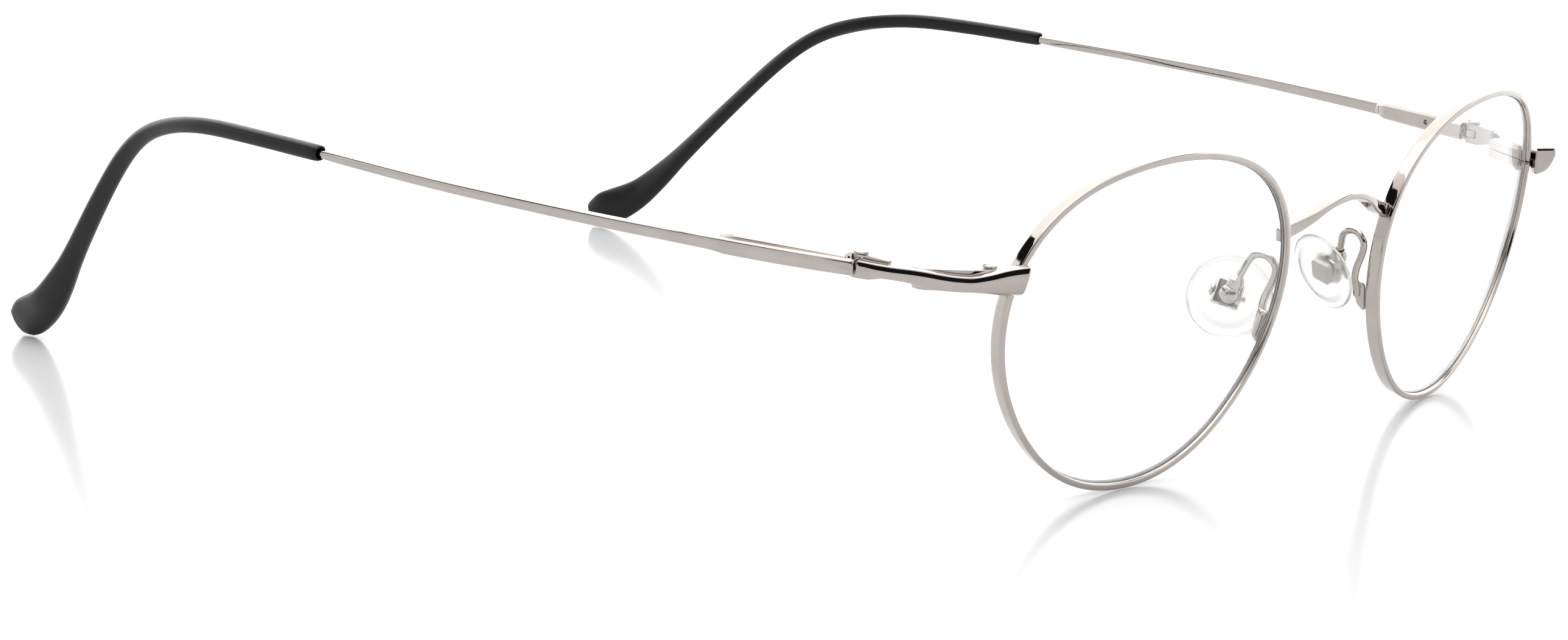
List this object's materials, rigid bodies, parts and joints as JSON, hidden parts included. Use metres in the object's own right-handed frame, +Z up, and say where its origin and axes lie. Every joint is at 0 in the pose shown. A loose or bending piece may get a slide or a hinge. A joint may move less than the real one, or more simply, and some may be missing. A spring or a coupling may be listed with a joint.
{
  "type": "round wire eyeglasses",
  "caption": "Round wire-rimmed eyeglasses with clear lenses, adjustable nose pads on wire arms, spring-loaded folding temples and curved black tips.",
  "frame": {"origin": "on the floor under the middle of the whole object, halfway between its front and its back", "axes": "+X to the wearer's left, -Y the way the wearer looks, +Z up; x = 0 is the plane of symmetry, and both temples are open at rest"},
  "size_m": [0.1514, 0.1469, 0.037],
  "materials": {
    "polished_metal": "palladium-plated nickel alloy wire and sheet, mirror polished",
    "screw_steel": "bright machined stainless screws",
    "spring_steel": "drawn spring wire, smooth",
    "bushing_plastic": "plain moulded plastic",
    "clear_lens": "clear demonstration lens, polished, no tint",
    "clear_silicone": "clear soft silicone, smooth",
    "black_acetate": "black acetate, satin"
  },
  "bodies": {
    "frame": {"bridge": "polished_metal", "rim_right": "polished_metal", "lens_right": "clear_lens", "end_piece_right": "polished_metal", "closing_block_lower_right": "polished_metal", "closing_block_upper_right": "polished_metal", "closing_screw_right": "screw_steel", "hinge_front_right": "polished_metal", "hinge_screw_right": "screw_steel", "pad_arm_right": "polished_metal", "pad_box_right": "polished_metal", "pad_screw_right": "screw_steel", "rim_left": "polished_metal", "lens_left": "clear_lens", "end_piece_left": "polished_metal", "closing_block_lower_left": "polished_metal", "closing_block_upper_left": "polished_metal", "closing_screw_left": "screw_steel", "hinge_front_left": "polished_metal", "hinge_screw_left": "screw_steel", "pad_arm_left": "polished_metal", "pad_box_left": "polished_metal", "pad_screw_left": "screw_steel"},
    "slider_right": {"slider_right": "screw_steel", "rod_nut_right": "screw_steel"},
    "temple_right": {"temple_right": "polished_metal", "temple_tip_right": "black_acetate", "spring_housing_right": "polished_metal", "bushing_right": "bushing_plastic", "spring_right": "spring_steel"},
    "pad_right": {"pad_right": "clear_silicone", "pad_insert_right": "polished_metal"},
    "slider_left": {"slider_left": "screw_steel", "rod_nut_left": "screw_steel"},
    "temple_left": {"temple_left": "polished_metal", "temple_tip_left": "black_acetate", "spring_housing_left": "polished_metal", "bushing_left": "bushing_plastic", "spring_left": "spring_steel"},
    "pad_left": {"pad_left": "clear_silicone", "pad_insert_left": "polished_metal"}
  },
  "joints": [
    {"name": "temple_fold_right", "type": "hinge", "parent": "frame", "child": "slider_right", "pos_m": [-0.06827, -0.05341, 0.02665], "axis": [-0.0137, 0.0644, -0.9978], "range_deg": [-6, 78]},
    {"name": "temple_spring_right", "type": "slide", "parent": "slider_right", "child": "temple_right", "axis": [-0.2075, 0.976, 0.0659], "range_m": [0, 0.0008], "stiffness_N_per_m": 2000, "springref_m": -0.0008, "deforming": ["spring_right"]},
    {"name": "pad_rock_right", "type": "hinge", "parent": "frame", "child": "pad_right", "pos_m": [-0.01242, -0.06468, 0.01823], "axis": [0.2789, -0.9336, -0.2248], "range_deg": [-6, 6]},
    {"name": "temple_fold_left", "type": "hinge", "parent": "frame", "child": "slider_left", "pos_m": [0.06827, -0.05341, 0.02665], "axis": [-0.0137, -0.0644, 0.9978], "range_deg": [-6, 88]},
    {"name": "temple_spring_left", "type": "slide", "parent": "slider_left", "child": "temple_left", "axis": [0.2075, 0.976, 0.0659], "range_m": [0, 0.0008], "stiffness_N_per_m": 2000, "springref_m": -0.0008, "deforming": ["spring_left"]},
    {"name": "pad_rock_left", "type": "hinge", "parent": "frame", "child": "pad_left", "pos_m": [0.01242, -0.06468, 0.01823], "axis": [0.2789, 0.9336, 0.2248], "range_deg": [-6, 6]}
  ]
}
